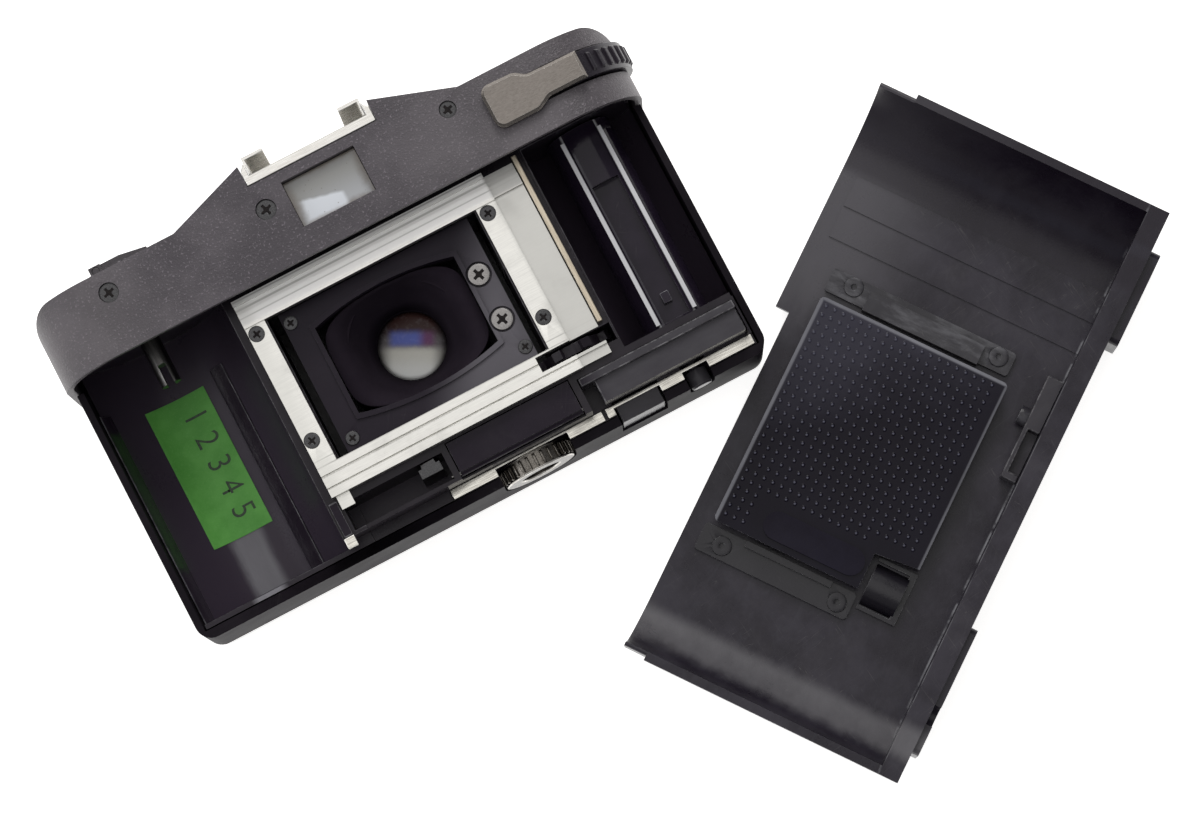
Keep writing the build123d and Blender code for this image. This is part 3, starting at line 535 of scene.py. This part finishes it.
# edge softening of each CAD piece, in millimetres; others take the default
edges = {
    "top_cover": 0.55, "front_cover": 0.3, "front_door": 0.3, "back_shell": 0.4, "wind_lever": 0.3,
    "take_up_spool": 0.15, "film_gate_frame": 0.09, "serial_label": 0.0, "rear_lens": 0.0,
    "front_lens": 0.0, "eyepiece_glass": 0.05, "gate_screws": 0.05, "mask_screws": 0.05,
    "shutter_screws": 0.05, "cover_screws": 0.05, "light_mask": 0.1, "pressure_plate": 0.4,
    "sprocket": 0.12, "film_clip": 0.2, "tripod_bush": 0.25, "tripod_strap": 0.08, "drive_strap": 0.08,
    "shoe_rails": 0.12, "shoe_plate": 0.12,
}
slotEdges = {"bracket_steel": 0.24, "lid_plastic": 0.22}
slotOf = {part["node"]: part["material_slot"] for part in frame["record"]["subparts"]}
nodeFinish = {"cartridge_chamber": rubbedAndSheen, "lid_latch": finish["dark_screw"]}
softening = {"default": 0.12, "weld": 0.002, "angle": 32, "wide": 0.25}


# lighter finish on the softened edges, a painted edge highlight with worn patches: base colour, wear colour,
# share of metal
highlitWornEdges = {
    "back_plastic": ((0.055, 0.052, 0.060), (0.22, 0.215, 0.23), 0.0),
    "plate_paint": ((0.075, 0.074, 0.090), (0.42, 0.42, 0.45), 0.0),
    "bracket_steel": ((0.110, 0.108, 0.115), (0.42, 0.42, 0.43), 0.3),
    "chassis_plastic": ((0.016, 0.013, 0.018), (0.075, 0.070, 0.080), 0.0),
    "lid_plastic": ((0.030, 0.027, 0.033), (0.150, 0.145, 0.155), 0.0),
    "mask_paint": ((0.020, 0.017, 0.022), (0.070, 0.066, 0.075), 0.0),
    "rib_plastic": ((0.030, 0.026, 0.034), (0.110, 0.105, 0.120), 0.0),
    "spool_plastic": ((0.030, 0.027, 0.034), (0.120, 0.115, 0.130), 0.0),
    "lever_metal": ((0.42, 0.40, 0.37), (0.62, 0.60, 0.57), 1.0),
    "strap_steel": ((0.80, 0.78, 0.72), (0.92, 0.90, 0.85), 1.0),
    "bush_steel": ((0.60, 0.58, 0.54), (0.90, 0.88, 0.84), 1.0),
    "dark_screw": ((0.06, 0.058, 0.060), (0.22, 0.215, 0.21), 1.0),
}


def highlitWornEdge(name, base, worn, share):
    # painted edge highlight: the edges are painted lighter, with worn patches
    s = Surface(name + "_edge")
    patch = s.noise(0.45, 4.0, 0.65)
    fine = s.noise(3.0, 3.0, 0.6)
    wearAndPaintedLight = s.step(patch + (fine - 0.5) * 0.3, 0.40, 0.66)
    s.bump(fine, 0.01, 0.4)
    return s.finish(colour=s.mix(wearAndPaintedLight, base, worn), rough=0.34 - wearAndPaintedLight * 0.1 + (fine - 0.5) * 0.1,
                    metal=share, specular=0.4)


edgeFinish = {name: highlitWornEdge(name, *values) for name, values in highlitWornEdges.items()}


def soften(piece, width, segments=2, merge=True):
    if merge:
        weld = piece.modifiers.new("weld", "WELD")
        weld.merge_threshold = softening["weld"] * mm
    if width > 0:
        bevel = piece.modifiers.new("bevel", "BEVEL")
        bevel.limit_method = "ANGLE"
        bevel.angle_limit = math.radians(softening["angle"])
        bevel.width = width * mm
        bevel.segments = segments
        bevel.use_clamp_overlap = True
        if len(piece.data.materials) > 1:
            bevel.material = 1
    even = piece.modifiers.new("even", "WEIGHTED_NORMAL")
    even.keep_sharp = True
    for face in piece.data.polygons:
        face.use_smooth = True


for name, piece in nodes.items():
    piece.data.materials.clear()
    piece.data.materials.append(nodeFinish.get(name) or finish[slotOf[name]])
    if slotOf[name] in edgeFinish:
        piece.data.materials.append(edgeFinish[slotOf[name]])
    width = edges.get(name, slotEdges.get(slotOf[name], softening["default"]))
    soften(piece, width, 3 if width > softening["wide"] else 2)
print("CAD pieces dressed", len(nodes))


def addPiece(name, build, body, slot, material=None, width=0.0, smooth=True):
    # build draws into a bmesh in millimetres
    mesh = bmesh.new()
    build(mesh)
    bmesh.ops.scale(mesh, vec=(mm, mm, mm), verts=mesh.verts)
    bmesh.ops.recalc_face_normals(mesh, faces=mesh.faces)
    data = bpy.data.meshes.new(name)
    mesh.to_mesh(data)
    mesh.free()
    piece = bpy.data.objects.new(name, data)
    bpy.context.scene.collection.objects.link(piece)
    data.materials.append(material or finish[slot])
    for face in data.polygons:
        face.use_smooth = smooth
    if width > 0:
        soften(piece, width, 2, False)
    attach(piece, body)
    return piece


def boxAt(mesh, centre, size, turn=None, taper=0.0):
    made = bmesh.ops.create_cube(mesh, size=1.0)["verts"]
    for vert in made:
        shrink = 1.0 - taper if vert.co.z > 0 else 1.0
        vert.co = Vector((vert.co.x * size[0] * shrink, vert.co.y * size[1] * shrink, vert.co.z * size[2]))
    place = Matrix.Translation(Vector(centre)) @ (turn or Matrix.Identity(4))
    bmesh.ops.transform(mesh, matrix=place, verts=made)


def rodAt(mesh, centre, radius, length, sides):
    made = bmesh.ops.create_cone(mesh, cap_ends=True, segments=sides, radius1=radius, radius2=radius,
                                 depth=length)["verts"]
    bmesh.ops.transform(mesh, matrix=Matrix.Translation(Vector(centre)), verts=made)


def ontoBack(mesh):
    place = Matrix.Translation((backPlace["x"], backPlace["y"], 0))
    turn = Matrix.Rotation(backPlace["turn"], 4, "Z")
    bmesh.ops.transform(mesh, matrix=place @ turn, verts=mesh.verts)


# knurling: centre, radius, length along Y, number of ridges, ridge width and height
knurls = {
    "lever_ring_knurl": {"centre": (36.6, 23.1, 18.3), "radius": 12.85, "length": 3.9, "count": 44,
                         "width": 0.95, "height": 0.5, "body": "wind_lever", "slot": "ring_plastic"},
    "tripod_bush_knurl": {"centre": (8.6, -25.15, 11.0), "radius": 5.75, "length": 2.7, "count": 30,
                          "width": 0.62, "height": 0.4, "body": "camera_body", "slot": "bush_steel"},
}


# the ridges leave room for the foot of the wind lever
leverFoot = {"z": 11.0, "half": 6.0}


def knurl(name, centre, radius, length, count, width, height, body, slot):
    def build(mesh):
        for n in range(count):
            angle = 2 * math.pi * n / count
            turn = Matrix.Rotation(angle, 4, "Y")
            out = turn @ Vector((0, 0, radius))
            if name == "lever_ring_knurl" and out.z > leverFoot["z"] and abs(out.x) < leverFoot["half"]:
                continue
            boxAt(mesh, Vector(centre) + out, (width, length, height * 2), turn, 0.35)
    addPiece(name, build, body, slot, None, 0.08, False)


for name, values in knurls.items():
    knurl(name, **values)

# raised dots of the pressure plate
dots = {"pitch": 1.49, "left": -22.4, "right": 14.0, "low": -12.4, "high": 17.4, "radius": 0.44, "rise": 0.11,
        "sides": 8, "floor": 6.09}
# two places of the plate without dots: right end, lowest and highest
bare = {"pad": (-17.6, -6.5, 13.0), "corner": (-16.4, -99.0, -4.4)}


def dimple(mesh, x, y):
    # shallow cap with flat facets
    sides = dots["sides"]
    rings = []
    for share, lift in ((1.0, 0.0), (0.62, 0.62), (0.25, 0.94)):
        ring = []
        for n in range(sides):
            turn = 2 * math.pi * n / sides
            out = dots["radius"] * share
            ring.append(mesh.verts.new((x + out * math.cos(turn), y + out * math.sin(turn),
                                        dots["floor"] + dots["rise"] * lift)))
        rings.append(ring)
    for low, high in zip(rings, rings[1:]):
        for n in range(sides):
            mesh.faces.new((low[n], low[(n + 1) % sides], high[(n + 1) % sides], high[n]))
    mesh.faces.new(rings[-1])


def dimples(mesh):
    y = dots["high"]
    while y > dots["low"]:
        x = dots["left"]
        while x < dots["right"]:
            if not any(x < right and low < y < high for right, low, high in bare.values()):
                dimple(mesh, x, y)
            x += dots["pitch"]
        y -= dots["pitch"]
    ontoBack(mesh)


addPiece("plate_dimples", dimples, "pressure_plate", "plate_paint", dotted)


# smooth pad along one edge of the pressure plate
pad = {"x": -20.7, "low": -5.3, "high": 11.6, "half": 2.25, "floor": 6.05, "steps": 12}


def platePad(mesh):
    # long and flat with round ends
    half, steps = pad["half"], pad["steps"]
    rim = []
    for middle, start in ((pad["high"] - half, 0.0), (pad["low"] + half, math.pi)):
        for n in range(steps + 1):
            turn = start + math.pi * n / steps
            rim.append(mesh.verts.new((pad["x"] + half * math.cos(turn), middle + half * math.sin(turn),
                                       pad["floor"])))
    face = mesh.faces.new(rim)
    for inset, rise in ((0.0, 0.22), (0.35, 0.16), (0.5, 0.05)):
        if inset:
            bmesh.ops.inset_region(mesh, faces=[face], thickness=inset)
        bmesh.ops.translate(mesh, vec=(0, 0, rise), verts=list(face.verts))
    ontoBack(mesh)


padGloss = plastic("pad_gloss", **{**plastics["plate_paint"], "specular": 0.09, "rough": 0.2})
addPiece("plate_pad", platePad, "pressure_plate", "plate_paint", padGloss)

# moulded baffle between the mask's opening and the rear glass: height, half width, half height, bow
baffleLevels = [
    (19.1, 11.7, 7.15, 1.6),
    (17.9, 9.2, 7.0, 1.6),
    (15.2, 7.7, 6.4, 0.9),
    (13.4, 6.6, 6.1, 0.3),
    (11.7, 5.5, 5.5, 0.0),
]


def baffle(mesh):
    around = 64
    rings = []
    for level, (z, wide, tall, bow) in enumerate(baffleLevels):
        power = 2.0 / (5.0 - level * 0.75)
        ring = []
        for n in range(around):
            turn = 2 * math.pi * n / around
            c, t = math.cos(turn), math.sin(turn)
            x = wide * math.copysign(abs(c) ** power, c)
            y = tall * math.copysign(abs(t) ** power, t)
            y += bow * (1 - (x / wide) ** 2) * math.copysign(1.0, t) * min(1.0, abs(t) * 4)
            ring.append(mesh.verts.new((x, y + 0.4 * (z - 11.7) / 7.4, z)))
        rings.append(ring)
    for low, high in zip(rings, rings[1:]):
        for n in range(around):
            mesh.faces.new((low[n], low[(n + 1) % around], high[(n + 1) % around], high[n]))


baffleShell = addPiece("light_baffle", baffle, "lens_carriage", "barrel_paint")
thick = baffleShell.modifiers.new("thick", "SOLIDIFY")
thick.thickness = 0.2 * mm
thick.offset = 0.0
print("moulded details added")

# dirt packed in the screws' cross recesses: node, body, screw centres and head radius
crosses = {
    "gate_screw_dirt": ("gate_screws", "camera_body",
                        [(-20.0, 10.6), (-20.0, -7.7), (19.4, 10.7), (19.5, -7.3)], 1.1),
    "cover_screw_dirt": ("cover_screws", "camera_body", [(-36.6, 25.4), (-10.0, 25.6), (21.1, 26.4)], 1.45),
    "mask_screw_dirt": ("mask_screws", "lens_carriage", [(-14.75, 10.2), (-14.45, -9.8), (15.1, -9.6)], 1.05),
    "shutter_screw_dirt": ("shutter_screws", "lens_carriage", [(13.95, 3.5), (13.95, -4.2)], 1.65),
}


def grime():
    s = Surface("recess_grime")
    lump = s.noise(5.0, 3.0, 0.6)
    s.bump(lump, 0.03, 0.5)
    return s.finish(colour=s.mix(s.step(lump, 0.3, 0.7), (0.006, 0.005, 0.006), (0.022, 0.018, 0.017)),
                    rough=0.75 + (lump - 0.5) * 0.2, specular=0.15)


grimeFinish = grime()


def crossDirt(name, node, body, places, radius):
    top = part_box(node)[1].z / mm

    def build(mesh):
        for x, y in places:
            for turn in (20, 110):
                spin = Matrix.Rotation(math.radians(turn), 4, "Z")
                boxAt(mesh, (x, y, top - 0.045), (radius * 1.15, radius * 0.3, 0.1), spin)
            rodAt(mesh, (x, y, top - 0.04), radius * 0.3, 0.1, 12)
    addPiece(name, build, body, "dark_screw", grimeFinish, 0.0, False)


for name, values in crosses.items():
    crossDirt(name, *values)

# digits on the chamber label
digits = {"text": "12345", "x": -35.0, "step": 4.1, "size": 5.4, "narrow": 0.86, "lift": 0.14}
chamber = {"x": -35.2, "z": 15.2, "radius": 12.7}
labelLow, labelHigh = [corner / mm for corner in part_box("serial_label")]
digits["y"] = (labelLow.y + labelHigh.y) / 2 + 2 * digits["step"]
print("label", [round(v, 2) for v in (*labelLow, *labelHigh)])


def labelHeight(x):
    # the label follows the chamber's curved wall
    across = x - chamber["x"]
    return chamber["z"] - math.sqrt(max(chamber["radius"] ** 2 - across ** 2, 0.0))


def labelDigits():
    for index, letter in enumerate(digits["text"]):
        curve = bpy.data.curves.new("digit", "FONT")
        curve.body = letter
        curve.size = digits["size"]
        curve.align_x = "CENTER"
        curve.align_y = "CENTER"
        curve.offset = -0.03
        holder = bpy.data.objects.new("digit", curve)
        bpy.context.scene.collection.objects.link(holder)
        bpy.context.view_layer.update()
        flat = bpy.data.meshes.new_from_object(holder)
        bpy.data.objects.remove(holder)

        def build(mesh, flat=flat, index=index):
            mesh.from_mesh(flat)
            bmesh.ops.triangulate(mesh, faces=mesh.faces)
            bmesh.ops.subdivide_edges(mesh, edges=[e for e in mesh.edges if e.calc_length() > 0.9], cuts=2)
            place = Matrix.Translation((digits["x"], digits["y"] - index * digits["step"], 0))
            turn = Matrix.Rotation(math.radians(-90), 4, "Z")
            narrow = Matrix.Diagonal((digits["narrow"], 1.0, 1.0, 1.0))
            bmesh.ops.transform(mesh, matrix=place @ turn @ narrow, verts=mesh.verts)
            for vert in mesh.verts:
                vert.co.z = labelHeight(vert.co.x) + digits["lift"]
        addPiece("label_digit_" + str(index + 1), build, "camera_body", "label_paper", ink)
        bpy.data.meshes.remove(flat)


labelDigits()
print("detail pieces added")

# floor, lights and camera
stage = {
    "floor": (0.93, 0.925, 0.915), "floorGlow": 0.88, "world": (0.62, 0.62, 0.63), "worldPower": 0.42,
    "middle": (20, -20, 0), "size": 3.0, "eye": (-3.6, -100.0, 664.0), "aim": (21.32, -21.11, 0.0),
    "up": (0.4626, 0.8782, 0.1217), "lens": 128.8,
}
lamps = {
    "overhead": {"place": (-80, 200, 780), "size": 1050, "power": 2.5, "colour": (1.0, 0.99, 0.975)},
    "key": {"place": (360, 620, 560), "size": 420, "power": 3.2, "colour": (1.0, 0.995, 0.98)},
    "side": {"place": (-620, 120, 420), "size": 420, "power": 0.9, "colour": (0.97, 0.98, 1.0)},
}


def buildStage():
    bpy.ops.mesh.primitive_plane_add(size=stage["size"], location=(0, 0, -0.0002))
    floor = bpy.context.active_object
    floor.name = "floor"
    s = Surface("floor_white")
    soft = s.noise(0.004, 3.0)
    s.bump(s.noise(0.8, 3.0), 0.02, 0.1)
    shade = s.mix(s.step(soft, 0.3, 0.7), stage["floor"], (0.90, 0.895, 0.885))
    floor.data.materials.append(s.finish(colour=shade, rough=0.7, specular=0.2, glow=shade,
                                         glowPower=stage["floorGlow"]))
    world = bpy.data.worlds.new("studio")
    bpy.context.scene.world = world
    world.use_nodes = True
    back = world.node_tree.nodes["Background"]
    back.inputs["Color"].default_value = paint(stage["world"])
    back.inputs["Strength"].default_value = stage["worldPower"]
    for name, values in lamps.items():
        light = bpy.data.lights.new(name, "AREA")
        light.shape = "DISK"
        light.size = values["size"] * mm
        light.energy = values["power"]
        light.color = values["colour"]
        holder = bpy.data.objects.new(name, light)
        bpy.context.scene.collection.objects.link(holder)
        holder.location = Vector(values["place"]) * mm
        toward = Vector(stage["middle"]) * mm - holder.location
        holder.rotation_euler = toward.to_track_quat("-Z", "Y").to_euler()


def buildCamera():
    data = bpy.data.cameras.new("camera")
    data.lens = stage["lens"]
    data.sensor_width = 36.0
    data.clip_start = 0.01
    holder = bpy.data.objects.new("camera", data)
    bpy.context.scene.collection.objects.link(holder)
    eye = Vector(stage["eye"])
    forward = (Vector(stage["aim"]) - eye).normalized()
    right = forward.cross(Vector(stage["up"])).normalized()
    up = right.cross(forward)
    turn = Matrix((right, up, -forward)).transposed().to_4x4()
    holder.matrix_world = Matrix.Translation(eye * mm) @ turn
    bpy.context.scene.camera = holder


buildStage()
buildCamera()
bpy.context.scene.view_settings.view_transform = "Standard"
print("stage ready")
